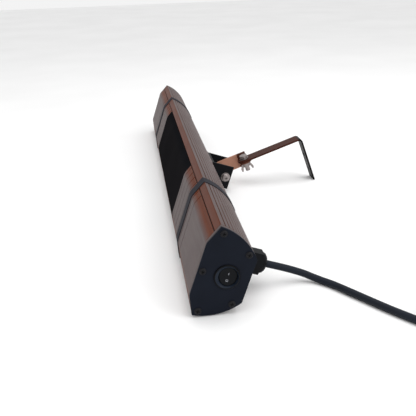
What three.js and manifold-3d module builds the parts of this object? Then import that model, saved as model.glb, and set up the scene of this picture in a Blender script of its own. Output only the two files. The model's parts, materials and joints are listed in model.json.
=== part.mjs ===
// Infrared strip heater: an aluminium bar with end caps, a black radiant front, a rocker switch,
// a cable gland with its mains cord, and a tilting and swivelling L-arm on a U-bracket.
// Millimetres, +Z up. The bar lies along X with the switch at +X, and it stands on the lower
// curve of its body and on the end of the arm's leg.
import * as THREE from "three";
import { mergeVertices } from "three/addons/utils/BufferGeometryUtils.js";
import Module from "manifold-3d";

const wasm = await Module();
wasm.setup();

// ---- driving dimensions ---------------------------------------------------------------------

const BAR_LENGTH = 860;            // over the two end caps
const BAR_DEPTH = 60.4;            // back flat to front flat
const BACK_HALF = 27.3;            // half height of the back flat
const FRONT_HALF = 32.2;           // half height of the front flat
const RIDGE_DEPTH = 50.5;          // the widest edges, measured from the back flat
const RIDGE_HALF = 55;             // half of the body's full height
const SEAM_SHARE = 0.41;           // where the front cover starts on the slanted strip
const ARC_RADIUS = 69.5;           // curved top and bottom
const FRONT_ROUND = 5;             // rounding of the front edges
const WALL = 2.2;
const GAP = 0.3;                   // between neighbouring pieces

const CAP = 2.5;                   // end cap plate
const FRAME_END = 7.3;             // end frame reaches this far in from the end
const FRAME_RIM = 13.5;            // width of its rim, which takes the cap screws
const STRAP = { start: 148, width: 18, proud: 1.0, lift: 0.1 };
const PANEL_START = 248;           // black radiant panel, from each end
const CROSS_GROOVES = [122, 142, 174, 196, 217, 238];
const RIB_FIRST = 99.3;            // first long groove on the curve, degrees round its centre
const RIB_STEP = 4.1;
const RIB_COUNT = 11;
const RIB_DEPTH = 0.8;
const RIB_HALF_ANGLE = 0.45;

const BODY_TILT = 19.2;            // the front faces up by this much as it stands
const ARM_RISE = 38;               // arm above the body's back direction
const BASE = { x: -0.22, y: -67.0 }; // puts the origin under the middle of the footprint

const CAP_SCREWS = [[45.6, 48.3], [45.6, -48.3], [10.8, 31], [10.8, -31], [54.9, 0]];
const SCREW = { head: 4.1, high: 1.9, shank: 2, length: 13, cross: 1.1, port: 4.2 };

const SWITCH = { depth: 26.7, bezel: 14.8, hole: 13.2, rim: 13.4, proud: 1.9 };
const ROCKER = { mouth: 10.9, aside: 1.5, sill: -0.6, floor: -7.5, radius: 10.4, pivot: 3.2 };
const ROCKER_REST = 8;             // degrees, pressed in on its upper side

const GLAND = { at: 62, hex: 14.2, body: 9.5, nut: 26, end: 32.5, thread: 9.7, bore: 5.1 };
const CORD = 9;                    // cord diameter

const BRACKET = { near: 400, far: 460, sheet: 3, half: 20, shoe: 8, reach: 47, pivot: 37.5 };
const LINK = { far: 455, sheet: 3, half: 12.5, reach: 50 };
const ARM = { near: 426, far: 451, sheet: 3, top: 4.5, reach: 150, bend: 4, swivel: 44 };
const WALL_HOLES = [-30, -58];
const M8 = 4;

const COIL = { x: 488, y: 177.1, inner: 36.1, outer: 63.6, high: 18.4 };
const PLUG = { x: 438, y: 236.1, radius: 18, relief: 24, body: 40, pin: 19 };

const COLOURS = {
  taupe: [0x6b5f5e, 0.45, 0.6],
  bronze: [0x68402a, 0.4, 0.7],
  cap: [0x1e222a, 0.6, 0.1],
  black: [0x17181b, 0.5, 0.1],
  strap: [0x33363c, 0.55, 0.2],
  steel: [0xa4a4a6, 0.35, 0.9],
  bright: [0xc8c8ca, 0.15, 1.0],
  copper: [0xa87662, 0.4, 0.8],
  brown: [0x4c2a20, 0.45, 0.7],
  ceramic: [0xe6e1d6, 0.7, 0.0],
  quartz: [0xd8d2cc, 0.1, 0.0],
  filament: [0x5a5048, 0.6, 0.4],
  cord: [0x212430, 0.6, 0.0],
};

// ---- helpers ---------------------------------------------------------------------------------

const rad = THREE.MathUtils.degToRad;

function material(name) {
  const [color, roughness, metalness] = COLOURS[name];
  return new THREE.MeshStandardMaterial({ color, roughness, metalness });
}

function mesh(name, geometry, colour) {
  const made = new THREE.Mesh(geometry, material(colour));
  made.name = name;
  return made;
}

function toSolid(geometry) {
  const plain = geometry.clone();
  plain.deleteAttribute("normal");
  plain.deleteAttribute("uv");
  const merged = mergeVertices(plain, 1e-4);
  return new wasm.Manifold(new wasm.Mesh({
    numProp: 3,
    vertProperties: new Float32Array(merged.attributes.position.array),
    triVerts: new Uint32Array(merged.index.array),
  }));
}

function toGeometry(solid) {
  const data = solid.getMesh();
  const geometry = new THREE.BufferGeometry();
  geometry.setAttribute("position", new THREE.BufferAttribute(data.vertProperties, 3));
  geometry.setIndex(new THREE.BufferAttribute(data.triVerts, 1));
  return geometry;
}

function cut(geometry, ...tools) {
  return toGeometry(tools.reduce((solid, tool) => solid.subtract(toSolid(tool)), toSolid(geometry)));
}

function join(geometry, ...others) {
  return toGeometry(others.reduce((solid, other) => solid.add(toSolid(other)), toSolid(geometry)));
}

function shapeOf(points) {
  return new THREE.Shape(points.map(([x, y]) => new THREE.Vector2(x, y)));
}

// A shape drawn in the first two of (a, b) and run along the third axis, from `start` to `end`.
const AXES = {
  x: [[0, 1, 0], [0, 0, 1], [1, 0, 0]],
  y: [[0, 0, 1], [1, 0, 0], [0, 1, 0]],
  z: [[1, 0, 0], [0, 1, 0], [0, 0, 1]],
};

function prism(axis, points, start, end) {
  const geometry = new THREE.ExtrudeGeometry(shapeOf(points), { depth: end - start, bevelEnabled: false });
  geometry.translate(0, 0, start);
  const [a, b, c] = AXES[axis].map((v) => new THREE.Vector3(...v));
  return geometry.applyMatrix4(new THREE.Matrix4().makeBasis(a, b, c));
}

// A round piece whose profile is [radius, height] pairs, turned about the axis and moved to `at`.
function turned(axis, profile, at, segments = 20) {
  const points = profile.map(([r, h]) => new THREE.Vector2(r, h));
  const geometry = new THREE.LatheGeometry(points, segments);
  geometry.rotateX(Math.PI / 2);
  const [a, b, c] = AXES[axis].map((v) => new THREE.Vector3(...v));
  geometry.applyMatrix4(new THREE.Matrix4().makeBasis(a, b, c));
  return geometry.translate(...at);
}

const rod = (axis, r, start, end, at, segments = 20) =>
  turned(axis, [[0, start], [r, start], [r, end], [0, end]], at, segments);

const tube = (axis, inner, outer, start, end, at, segments = 20) =>
  turned(axis, [[inner, start], [outer, start], [outer, end], [inner, end], [inner, start]], at, segments);

function polygon(count, acrossFlats, turn = 0) {
  const r = acrossFlats / 2 / Math.cos(Math.PI / count);
  return Array.from({ length: count }, (_, i) => {
    const angle = turn + (2 * Math.PI * i) / count;
    return [r * Math.cos(angle), r * Math.sin(angle)];
  });
}

const shift = (points, dx, dy) => points.map(([x, y]) => [x + dx, y + dy]);

function box(x0, x1, y0, y1, z0, z1) {
  return prism("z", [[x0, y0], [x1, y0], [x1, y1], [x0, y1]], z0, z1);
}

// ---- the body's section ------------------------------------------------------------------------
// Body frame: x along the bar, y from the front to the back (the back flat is y = 0), z up.

const ridge = [-RIDGE_DEPTH, RIDGE_HALF];
const frontEdge = [-BAR_DEPTH, FRONT_HALF];
const seam = [0, 1].map((i) => ridge[i] + SEAM_SHARE * (frontEdge[i] - ridge[i]));

// Centre of the upper curve, from its two ends and its radius.
function arcCentre() {
  const [x0, y0] = ridge;
  const [x1, y1] = [0, BACK_HALF];
  const chord = Math.hypot(x1 - x0, y1 - y0);
  const rise = Math.sqrt(ARC_RADIUS ** 2 - (chord / 2) ** 2);
  const nx = (y1 - y0) / chord;
  const ny = -(x1 - x0) / chord;
  return [(x0 + x1) / 2 + rise * nx, (y0 + y1) / 2 + rise * ny];
}

const centre = arcCentre();
const angleAt = ([x, y]) => (Math.atan2(y - centre[1], x - centre[0]) * 180) / Math.PI;
const onArc = (degrees, radius = ARC_RADIUS) => [
  centre[0] + radius * Math.cos(rad(degrees)),
  centre[1] + radius * Math.sin(rad(degrees)),
];

// Upper curve from the ridge to the back flat.
function arcPoints(grooved, steps) {
  const from = angleAt(ridge);
  const to = angleAt([0, BACK_HALF]);
  const points = [];
  if (!grooved) {
    for (let i = 0; i <= steps; i += 1) points.push(onArc(from + ((to - from) * i) / steps));
    return points;
  }
  points.push(onArc(from));
  for (let i = 0; i < RIB_COUNT; i += 1) {
    const at = 180 - (RIB_FIRST + RIB_STEP * i);
    points.push(onArc(at + RIB_HALF_ANGLE));
    points.push(onArc(at, ARC_RADIUS - RIB_DEPTH));
    points.push(onArc(at - RIB_HALF_ANGLE));
  }
  points.push(onArc(to));
  return points;
}

// Height of the back flat's middle when the lower curve's straps touch the floor.
const bodyLift = ARC_RADIUS + STRAP.proud
  + centre[0] * Math.sin(rad(BODY_TILT)) + centre[1] * Math.cos(rad(BODY_TILT));

const mirrored = (points) => points.map(([x, y]) => [x, -y]).reverse();

// Rounded front edge: the upper corner between the slanted strip and the front flat.
function frontCorner() {
  const toRidge = new THREE.Vector2(ridge[0] - frontEdge[0], ridge[1] - frontEdge[1]).normalize();
  const start = [frontEdge[0], frontEdge[1] - FRONT_ROUND * 0.45];
  const end = [frontEdge[0] + toRidge.x * FRONT_ROUND * 0.45, frontEdge[1] + toRidge.y * FRONT_ROUND * 0.45];
  const curve = new THREE.QuadraticBezierCurve(
    new THREE.Vector2(...start), new THREE.Vector2(...frontEdge), new THREE.Vector2(...end));
  return curve.getPoints(4).map((p) => [p.x, p.y]);
}

// Clockwise outline of the whole section, starting at the upper front corner.
function outline({ grooved = false, sharp = false, steps = 12 } = {}) {
  const upper = [...(sharp ? [frontEdge] : frontCorner()), ...arcPoints(grooved, steps)];
  return [...upper, ...mirrored(upper)];
}

// Moves every edge of a clockwise convex outline outwards by `out`.
function offset(points, out) {
  const count = points.length;
  return points.map((point, i) => {
    const before = points[(i + count - 1) % count];
    const after = points[(i + 1) % count];
    const normal = (p, q) => {
      const length = Math.hypot(q[0] - p[0], q[1] - p[1]);
      return [-(q[1] - p[1]) / length, (q[0] - p[0]) / length];
    };
    const n1 = normal(before, point);
    const n2 = normal(point, after);
    const scale = out / (1 + n1[0] * n2[0] + n1[1] * n2[1]);
    return [point[0] + (n1[0] + n2[0]) * scale, point[1] + (n1[1] + n2[1]) * scale];
  });
}

const fromEnd = (end, inset) => end * (BAR_LENGTH / 2 - inset);

// Prism along the bar between two insets from one end (+1 switch end, -1 far end).
function alongEnd(end, points, from, to) {
  const [a, b] = [fromEnd(end, from), fromEnd(end, to)].sort((p, q) => p - q);
  return prism("x", points, a, b);
}

function screwBores(spots) {
  return spots.map(([u, v]) => rod("x", SCREW.shank + GAP, -BAR_LENGTH, BAR_LENGTH, [0, -u, v], 12));
}

function ring(outer, inner, from, to) {
  return cut(prism("x", outer, from, to), prism("x", inner, from - 1, to + 1));
}

// Everything in front of the seam line, or behind it, with a clearance.
function seamBox(front, clearance) {
  const x0 = -BAR_LENGTH;
  const edge = (seam[0] + 0.001) - clearance;
  if (front) return box(x0, -x0, -BAR_DEPTH - 20, edge, -100, 100);
  return box(x0, -x0, edge, 100, -100, 100);
}

function housing() {
  const length = BAR_LENGTH / 2 - FRAME_END - GAP;
  const smooth = outline();
  const shell = ring(outline({ grooved: true }), offset(smooth, -WALL), -length, length);
  const open = cut(shell, seamBox(true, 0));
  const lips = [1, -1].map((side) => {
    const slope = Math.atan2(frontEdge[1] - ridge[1], frontEdge[0] - ridge[0]);
    const along = [Math.cos(slope), Math.sin(slope)];
    const inward = [-along[1], along[0]];
    const at = (s, d) => [
      seam[0] + along[0] * s + inward[0] * d,
      side * (seam[1] + along[1] * s + inward[1] * d),
    ];
    const points = [at(-6, 1), at(-1.5, 1), at(-1.5, WALL + GAP), at(6, WALL + GAP), at(6, 4.4), at(-6, 4.4)];
    return prism("x", points, -length, length);
  });
  const ports = CAP_SCREWS.slice(0, 4).map(([u, v]) => rod("x", SCREW.port, -length, length, [0, -u, v], 12));
  const gland = rod("y", GLAND.thread + GAP, -10, 10, [fromEnd(1, GLAND.at), 0, 0], 24);
  const fixings = bracketScrewX().map((x) => rod("y", 3 + GAP, -10, 10, [x, 0, 0], 14));
  const inside = prism("x", offset(smooth, -0.6), -length - 5, length + 5);
  const trimmed = toGeometry(toSolid(join(lips[0], lips[1], ...ports)).intersect(toSolid(inside)));
  return cut(join(open, trimmed), ...screwBores(CAP_SCREWS.slice(0, 4)), gland, ...fixings);
}

function frontSkin(from, to, thickness) {
  const smooth = outline();
  const skin = ring(smooth, offset(smooth, -thickness), from, to);
  return cut(skin, seamBox(false, 0.15));
}

function frontCover(end) {
  const ends = [fromEnd(end, FRAME_END + GAP), fromEnd(end, PANEL_START - GAP)].sort((p, q) => p - q);
  const skin = frontSkin(ends[0], ends[1], WALL);
  const [u, v] = CAP_SCREWS[4];
  const portEnds = [fromEnd(end, FRAME_END + GAP), fromEnd(end, 34)].sort((p, q) => p - q);
  const port = rod("x", SCREW.port, portEnds[0], portEnds[1], [0, -u, v], 12);
  const inside = prism("x", offset(outline(), -0.6), portEnds[0], portEnds[1]);
  const boss = toGeometry(toSolid(port).intersect(toSolid(inside)));
  const smooth = outline();
  const grooves = CROSS_GROOVES.map((w) => {
    const middle = fromEnd(end, w);
    return ring(offset(smooth, 3), offset(smooth, -0.7), middle - 0.8, middle + 0.8);
  });
  return cut(join(skin, boss), ...screwBores([CAP_SCREWS[4]]), ...grooves);
}

function endFrame(end) {
  const hole = offset(outline({ sharp: true, steps: 2 }), -FRAME_RIM);
  return cut(
    alongEnd(end, outline(), CAP + GAP, FRAME_END),
    alongEnd(end, hole, 0, FRAME_END + 2),
    ...screwBores(CAP_SCREWS),
  );
}

function endCap(end) {
  const holes = screwBores(CAP_SCREWS);
  if (end > 0) holes.push(rod("x", SWITCH.hole + GAP, 0, BAR_LENGTH, [0, -SWITCH.depth, 0], 32));
  return cut(alongEnd(end, outline(), 0, CAP), ...holes);
}

function strap(end) {
  const smooth = outline();
  const ends = [fromEnd(end, STRAP.start), fromEnd(end, STRAP.start + STRAP.width)].sort((p, q) => p - q);
  return ring(offset(smooth, STRAP.proud), offset(smooth, STRAP.lift), ends[0], ends[1]);
}

function capScrew(end, [u, v]) {
  const at = fromEnd(end, 0);
  const face = 0.15;
  const profile = [
    [0, -SCREW.length], [SCREW.shank, -SCREW.length], [SCREW.shank, face], [SCREW.head, face],
    [SCREW.head, face + 0.7], [SCREW.head * 0.72, face + SCREW.high * 0.85], [0, face + SCREW.high],
  ];
  const body = turned("x", profile, [0, 0, 0], 14);
  const half = SCREW.cross / 2;
  const bar = (a, b) => box(0.9, 4, -a, a, -b, b);
  const screw = cut(body, bar(2.2, half), bar(half, 2.2));
  if (end < 0) screw.rotateZ(Math.PI);
  return screw.translate(at, -u, v);
}

// ---- heating parts -----------------------------------------------------------------------------

const TUBE = { y: -37, radius: 7, wall: 1.2, half: 170, cap: 9 };

function reflector() {
  const outer = [];
  const steps = 14;
  for (let i = 0; i <= steps; i += 1) {
    const z = -27 + (54 * i) / steps;
    outer.push([-22 - (z * z) / 27, z]);
  }
  const inner = outer.map(([y, z]) => [y - 0.9, z * 0.985]).reverse();
  return prism("x", [...outer, ...inner], -178, 178);
}

function heatingTube() {
  const { radius, wall, half } = TUBE;
  return tube("x", radius - wall, radius, -half, half, [0, TUBE.y, 0], 18);
}

function tubeHolder(end) {
  const x = end * 184;
  const plate = box(x - 1, x + 1, -52, -4, -22, 22);
  return cut(plate, rod("x", TUBE.cap + GAP, x - 3, x + 3, [0, TUBE.y, 0], 20));
}

function tubeCap(end) {
  const [a, b] = [end * (TUBE.half + GAP), end * (TUBE.half + 24)].sort((p, q) => p - q);
  return rod("x", TUBE.cap, a, b, [0, TUBE.y, 0], 18);
}

function terminalBlock() {
  const x = fromEnd(1, 104);
  const block = box(x - 20, x + 20, -17, -4.5, -11, 11);
  const wires = [-12, 0, 12].map((dx) => box(x + dx - 2, x + dx + 2, -15, -9, -20, 20));
  return cut(block, ...wires);
}

function thermalCutout() {
  const x = fromEnd(1, 215);
  return join(rod("y", 8, -16, -6, [x, 0, 0], 18), box(x - 15, x + 15, -6.5, -5, -5, 5));
}

// ---- rocker switch -------------------------------------------------------------------------------

const switchCentre = [fromEnd(1, 0), -SWITCH.depth, 0];

// Round body with a funnel that leads off-centre down to the rocker's well.
function switchBody() {
  const { bezel, hole, rim, proud } = SWITCH;
  const { mouth, aside, sill, floor } = ROCKER;
  const outer = turned("x", [
    [0, -28], [hole, -28], [hole, 0.15], [bezel, 0.15], [bezel, proud - 0.7],
    [bezel - 0.7, proud], [0, proud],
  ], [0, 0, 0], 40);
  const funnel = turned("x", [[0, sill], [mouth, sill], [rim, proud + 0.1], [0, proud + 0.1]], [0, 0, 0], 40);
  const lean = -aside / (proud - sill);
  funnel.applyMatrix4(new THREE.Matrix4().makeShear(lean, 0, 0, 0, 0, 0));
  funnel.translate(0, -lean * proud, 0);
  const well = rod("x", mouth, floor, sill + 0.2, [0, aside, 0], 40);
  return cut(outer, funnel, well).translate(...switchCentre);
}

function switchRocker() {
  const { radius, aside, pivot } = ROCKER;
  const profile = [
    [-radius, -4.6], [-radius, -0.2], [-5, -1.1], [0, -1.45], [5, -1.1], [radius, -0.2], [radius, -4.6],
  ];
  const slab = prism("y", profile, -radius, radius);
  const round = rod("x", radius, -6, 4, [0, 0, 0], 32);
  const key = toGeometry(toSolid(slab).intersect(toSolid(round)));
  key.translate(pivot, 0, 0);
  key.rotateY(rad(-ROCKER_REST));
  return key.translate(switchCentre[0] - pivot, switchCentre[1] + aside, 0);
}

// ---- cable gland -----------------------------------------------------------------------------------

const glandX = fromEnd(1, GLAND.at);

function glandBody() {
  const hex = prism("y", shift(polygon(6, 2 * GLAND.hex, Math.PI / 6), 0, glandX), GAP, GLAND.body);
  const thread = rod("y", GLAND.thread, -11, GLAND.body + 2.5, [glandX, 0, 0], 24);
  return cut(join(hex, thread), rod("y", GLAND.bore, -20, 20, [glandX, 0, 0], 16));
}

function glandNut() {
  const start = GLAND.body + GAP;
  const hex = prism("y", shift(polygon(6, 2 * GLAND.hex - 1, Math.PI / 6), 0, glandX), start, GLAND.nut);
  const dome = turned("y", [
    [0, start], [13.2, start], [13.2, GLAND.nut + 1], [12, GLAND.nut + 3.6], [9.6, GLAND.nut + 5.6],
    [7.6, GLAND.end - 0.3], [6.6, GLAND.end], [0, GLAND.end],
  ], [glandX, 0, 0], 28);
  const socket = rod("y", GLAND.thread + GAP, start - 1, GLAND.body + 3, [glandX, 0, 0], 24);
  return cut(join(hex, dome), socket, rod("y", GLAND.bore, 0, GLAND.end + 5, [glandX, 0, 0], 16));
}

function glandLockNut() {
  const hex = shift(polygon(6, 25, Math.PI / 6), 0, glandX);
  return cut(prism("y", hex, -8, -2.6), rod("y", GLAND.thread + GAP, -20, 20, [glandX, 0, 0], 24));
}

// ---- bracket fixed to the back ---------------------------------------------------------------------

const atW = (w) => BAR_LENGTH / 2 - w;

function bracketScrewX() {
  return [-14, 14].map((dx) => atW((BRACKET.near + BRACKET.far) / 2) + dx);
}

function mountingShoe() {
  const points = [[0.3, -24], [BRACKET.shoe, -20], [BRACKET.shoe, 20], [0.3, 24]];
  const block = prism("x", points, atW(BRACKET.far + 4), atW(BRACKET.near - 4));
  return cut(block, ...bracketScrewX().map((x) => rod("y", 3 + GAP, -5, 20, [x, 0, 0], 14)));
}

function uBracket() {
  const back = BRACKET.shoe + GAP;
  const [x0, x1] = [atW(BRACKET.far), atW(BRACKET.near)];
  const outer = [[x0, back], [x1, back], [x1, BRACKET.reach], [x1 - BRACKET.sheet, BRACKET.reach]];
  const inner = [
    [x1 - BRACKET.sheet, back + BRACKET.sheet], [x0 + BRACKET.sheet, back + BRACKET.sheet],
    [x0 + BRACKET.sheet, BRACKET.reach], [x0, BRACKET.reach],
  ];
  const sheet = prism("z", [...outer, ...inner], -BRACKET.half, BRACKET.half);
  const pivot = rod("x", M8 + GAP, x0 - 5, x1 + 5, [0, BRACKET.pivot, 0], 20);
  return cut(sheet, pivot, ...bracketScrewX().map((x) => rod("y", 3 + GAP, 0, 30, [x, 0, 0], 14)));
}

function bracketScrew(x) {
  const face = BRACKET.shoe + GAP + BRACKET.sheet + 0.15;
  const profile = [
    [0, -9], [3, -9], [3, face], [6, face], [6, face + 1.6], [4.2, face + 3.3], [0, face + 3.3],
  ];
  const socket = prism("y", shift(polygon(6, 3.6), 0, x), face + 1.2, face + 8);
  return cut(turned("y", profile, [x, 0, 0], 18), socket);
}

function bracketNut(x) {
  return cut(prism("y", shift(polygon(6, 10), 0, x), -7.4, -2.5), rod("y", 3 + GAP, -20, 5, [x, 0, 0], 14));
}

const pivotAt = [0, BRACKET.pivot, 0];

function tiltBolt() {
  const near = atW(BRACKET.near);
  const far = atW(BRACKET.far) - 9;
  const face = near + 2;
  const profile = [
    [0, far], [M8, far], [M8, face], [6.9, face], [6.9, face + 1.6], [5.6, face + 3.6], [3.4, face + 4.5],
    [0, face + 4.5],
  ];
  const socket = prism("x", shift(polygon(6, 5), BRACKET.pivot, 0), face + 2, face + 9);
  return cut(turned("x", profile, pivotAt, 24), socket);
}

function tiltWasher() {
  const near = atW(BRACKET.near);
  return tube("x", M8 + GAP, 7.9, near + 0.2, near + 1.8, pivotAt, 28);
}

function tiltSpacer() {
  const start = atW(LINK.far - LINK.sheet) + GAP;
  const end = atW(BRACKET.near + BRACKET.sheet) - GAP;
  return tube("x", M8 + GAP, 6.2, start, end, pivotAt, 20);
}

function tiltNut() {
  const far = atW(BRACKET.far);
  const hex = shift(polygon(6, 13), BRACKET.pivot, 0);
  return cut(prism("x", hex, far - 7.3, far - GAP), rod("x", M8 + GAP, far - 20, far + 5, pivotAt, 20));
}

// ---- link and arm ------------------------------------------------------------------------------------
// Arm frame: x along the bar, y along the arm away from the tilt pivot, z square to the arm.

const swivelX = atW((ARM.near + ARM.far) / 2);

function halfDisc(x, y, radius, from, to, steps) {
  return Array.from({ length: steps + 1 }, (_, i) => {
    const angle = rad(from + ((to - from) * i) / steps);
    return [x + radius * Math.cos(angle), y + radius * Math.sin(angle)];
  });
}

function tiltLink() {
  const { half, reach } = LINK;
  const tab = [...halfDisc(0, 0, half, 90, 270, 14), [reach - 12, -half], [reach, -half + 10], [reach, half]];
  const x0 = atW(LINK.far);
  const plate = prism("x", tab, x0, x0 + LINK.sheet);
  const under = ARM.top - ARM.sheet - GAP;
  const swing = halfDisc(swivelX, ARM.swivel, 12, -90, 90, 12);
  const seat = [[x0 + 1, ARM.swivel - 12], ...swing, [x0 + 1, ARM.swivel + 12]];
  const flange = prism("z", seat, under - LINK.sheet, under);
  const pivot = rod("x", M8 + GAP, x0 - 5, x0 + 10, [0, 0, 0], 20);
  const bolt = rod("z", M8 + GAP, -20, 20, [swivelX, ARM.swivel, 0], 20);
  return cut(join(plate, flange), pivot, bolt);
}

// Where the leg's end comes down to the floor, measured along the leg.
function legTip() {
  const pivotHeight = bodyLift - BRACKET.pivot * Math.sin(rad(BODY_TILT));
  const rise = rad(ARM_RISE - BODY_TILT);
  return -(pivotHeight + (ARM.reach - ARM.sheet) * Math.sin(rise)) / Math.cos(rise) + 0.05;
}

function wallArm() {
  const { top, sheet, reach, bend } = ARM;
  const tip = legTip();
  const outer = bend + sheet;
  const elbow = [reach - outer, top - outer];
  const side = [
    [ARM.swivel - 4, top],
    ...halfDisc(elbow[0], elbow[1], outer, 90, 0, 6),
    [reach, tip],
    [reach - sheet, tip],
    ...halfDisc(elbow[0], elbow[1], bend, 0, 90, 5),
    [ARM.swivel - 4, top - sheet],
  ];
  const [x0, x1] = [atW(ARM.far), atW(ARM.near)];
  const strip = prism("x", side.reverse(), x0, x1);
  const half = (x1 - x0) / 2;
  const round = prism("z", halfDisc(swivelX, ARM.swivel, half, 180, 360, 14), top - sheet, top);
  const bolt = rod("z", M8 + GAP, -20, 20, [swivelX, ARM.swivel, 0], 20);
  const holes = WALL_HOLES.map((z) => rod("y", 3.5, reach - 10, reach + 10, [swivelX, 0, z], 16));
  const infill = box(x0, x1, ARM.swivel, ARM.swivel + 2, top - sheet, top);
  const body = join(strip, infill, round);
  return cut(body, bolt, ...holes);
}

function wingBolt() {
  const face = ARM.top + 1.9;
  const head = prism("z", shift(polygon(6, 13), swivelX, ARM.swivel), face, face + 5.3);
  return join(head, rod("z", M8, -18, face + 1, [swivelX, ARM.swivel, 0], 20));
}

function wingWasher() {
  return tube("z", M8 + GAP, 8, ARM.top + 0.2, ARM.top + 1.7, [swivelX, ARM.swivel, 0], 24);
}

function wingNut() {
  const top = ARM.top - 2 * ARM.sheet - GAP - 0.3;
  const hub = turned("z", [[0, top - 8], [5.6, top - 8], [7.2, top], [0, top]], [swivelX, ARM.swivel, 0], 20);
  const wing = (side) => {
    const points = [[side * 4, top - 7], [side * 4, top - 1.2], [side * 8, top - 3], [side * 11.3, top - 11],
      [side * 11, top - 15], [side * 8.6, top - 15.4], [side * 6.4, top - 9]];
    const flat = side > 0 ? points.reverse() : points;
    const blade = prism("x", shift(flat, ARM.swivel, 0), -1.3, 1.3);
    return blade.translate(swivelX, 0, 0);
  };
  const bore = rod("z", M8 + GAP, -40, 20, [swivelX, ARM.swivel, 0], 20);
  return cut(join(hub, wing(1), wing(-1)), bore);
}

// ---- cord ------------------------------------------------------------------------------------------
// Route of the stretch that isn't coiled, in the part's own frame.

const ROUTE = [
  [367.8, -36, 27.9], [367.8, -29, 25.5], [367.8, -22, 23.1], [367.8, -10.2, 18.9], [368.3, 1.1, 14.7],
  [370, 12, 10.6], [374, 21.6, 7], [381.5, 31.1, 5], [393, 41.5, 4.6], [408, 51.6, 4.6], [423.2, 61.4, 4.6],
  [441.4, 73.1, 4.6], [459.4, 85, 4.6], [476, 97, 4.6], [484.9, 103.5, 4.6], [492.8, 109.4, 4.6],
];
const TAIL = [[453.2, 236.1, 16.2], [445, 236.1, 17.4], [438.3, 236.1, 18.1]];

function cordTube(points) {
  const curve = new THREE.CatmullRomCurve3(points.map((p) => new THREE.Vector3(...p)), false, "centripetal");
  const section = shapeOf(polygon(10, CORD * Math.cos(Math.PI / 10)));
  const steps = Math.round(curve.getLength() / (2.2 * CORD)) + 3;
  return new THREE.ExtrudeGeometry(section, { steps, bevelEnabled: false, extrudePath: curve });
}

function coilRing() {
  const { inner, outer, high } = COIL;
  const edge = 4;
  const profile = [
    [inner, edge], [inner + edge, 0.1], [outer - edge, 0.1], [outer, edge],
    [outer, high - edge], [outer - edge, high], [inner + edge, high], [inner, high - edge], [inner, edge],
  ];
  return turned("z", profile, [COIL.x, COIL.y, 0], 36);
}

function coilTie() {
  const { inner, outer, high } = COIL;
  const wall = 1.4;
  const out = [[inner - 0.5 - wall, 0.1], [outer + 0.5 + wall, 0.1], [outer + 0.5 + wall, high + 0.5 + wall],
    [inner - 0.5 - wall, high + 0.5 + wall]];
  const slot = [[inner - 0.5, -5], [outer + 0.5, -5], [outer + 0.5, high + 0.5], [inner - 0.5, high + 0.5]];
  const band = cut(prism("y", out.map(([x, z]) => [z, x]).reverse(), -4, 4),
    prism("y", slot.map(([x, z]) => [z, x]).reverse(), -6, 6));
  return band.translate(COIL.x, COIL.y, 0);
}

// Plug with its cord end at the local origin and its pins towards +y.
function plugParts() {
  const { radius, relief, body, pin } = PLUG;
  const shell = turned("y", [
    [0, 0.3], [6, 0.3], [7, relief * 0.5], [9.5, relief], [radius - 1.5, relief + 5], [radius, relief + 9],
    [radius, relief + body], [0, relief + body],
  ], [0, 0, 0], 30);
  const pinAt = (side) => rod("y", 2.4, relief + body + GAP, relief + body + pin, [side * 9.5, 0, 0], 14);
  return [
    mesh("plug_body", shell, "black"),
    mesh("plug_pin_a", pinAt(1), "bright"),
    mesh("plug_pin_b", pinAt(-1), "bright"),
  ];
}

// ---- assembly ----------------------------------------------------------------------------------------

const bar = new THREE.Group();
bar.rotation.x = rad(-BODY_TILT);
bar.position.set(BASE.x, BASE.y, bodyLift);

bar.add(
  mesh("housing_extrusion", housing(), "taupe"),
  mesh("front_panel", frontSkin(-fromEnd(1, PANEL_START), fromEnd(1, PANEL_START), 3), "black"),
  mesh("reflector", reflector(), "bright"),
  mesh("heating_tube", heatingTube(), "quartz"),
  mesh("filament", rod("x", 3.5, -TUBE.half + 2, TUBE.half - 2, [0, TUBE.y, 0], 12), "filament"),
  mesh("terminal_block", terminalBlock(), "ceramic"),
  mesh("thermal_cutout", thermalCutout(), "steel"),
  mesh("switch_body", switchBody(), "black"),
  mesh("switch_rocker", switchRocker(), "black"),
  mesh("gland_body", glandBody(), "black"),
  mesh("gland_nut", glandNut(), "black"),
  mesh("gland_lock_nut", glandLockNut(), "black"),
  mesh("mounting_shoe", mountingShoe(), "taupe"),
  mesh("u_bracket", uBracket(), "black"),
  mesh("tilt_bolt", tiltBolt(), "steel"),
  mesh("tilt_washer", tiltWasher(), "steel"),
  mesh("tilt_spacer", tiltSpacer(), "steel"),
  mesh("tilt_nut", tiltNut(), "steel"),
);

for (const [end, label] of [[1, "switch"], [-1, "far"]]) {
  bar.add(
    mesh(`end_cap_${label}`, endCap(end), "cap"),
    mesh(`end_frame_${label}`, endFrame(end), "taupe"),
    mesh(`front_cover_${label}`, frontCover(end), "taupe"),
    mesh(`strap_${label}`, strap(end), "strap"),
    mesh(`tube_cap_${label}`, tubeCap(end), "ceramic"),
    mesh(`tube_holder_${label}`, tubeHolder(end), "bright"),
  );
  CAP_SCREWS.forEach((spot, i) => bar.add(mesh(`cap_screw_${label}_${i + 1}`, capScrew(end, spot), "black")));
}

bracketScrewX().forEach((x, i) => {
  bar.add(mesh(`bracket_screw_${i + 1}`, bracketScrew(x), "steel"));
  bar.add(mesh(`bracket_nut_${i + 1}`, bracketNut(x), "steel"));
});

const arm = new THREE.Group();
arm.position.set(0, BRACKET.pivot, 0);
arm.rotation.x = rad(ARM_RISE);
arm.add(
  mesh("tilt_link", tiltLink(), "copper"),
  mesh("wall_arm", wallArm(), "brown"),
  mesh("wing_bolt", wingBolt(), "steel"),
  mesh("wing_washer", wingWasher(), "steel"),
  mesh("wing_nut", wingNut(), "steel"),
);
bar.add(arm);

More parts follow.
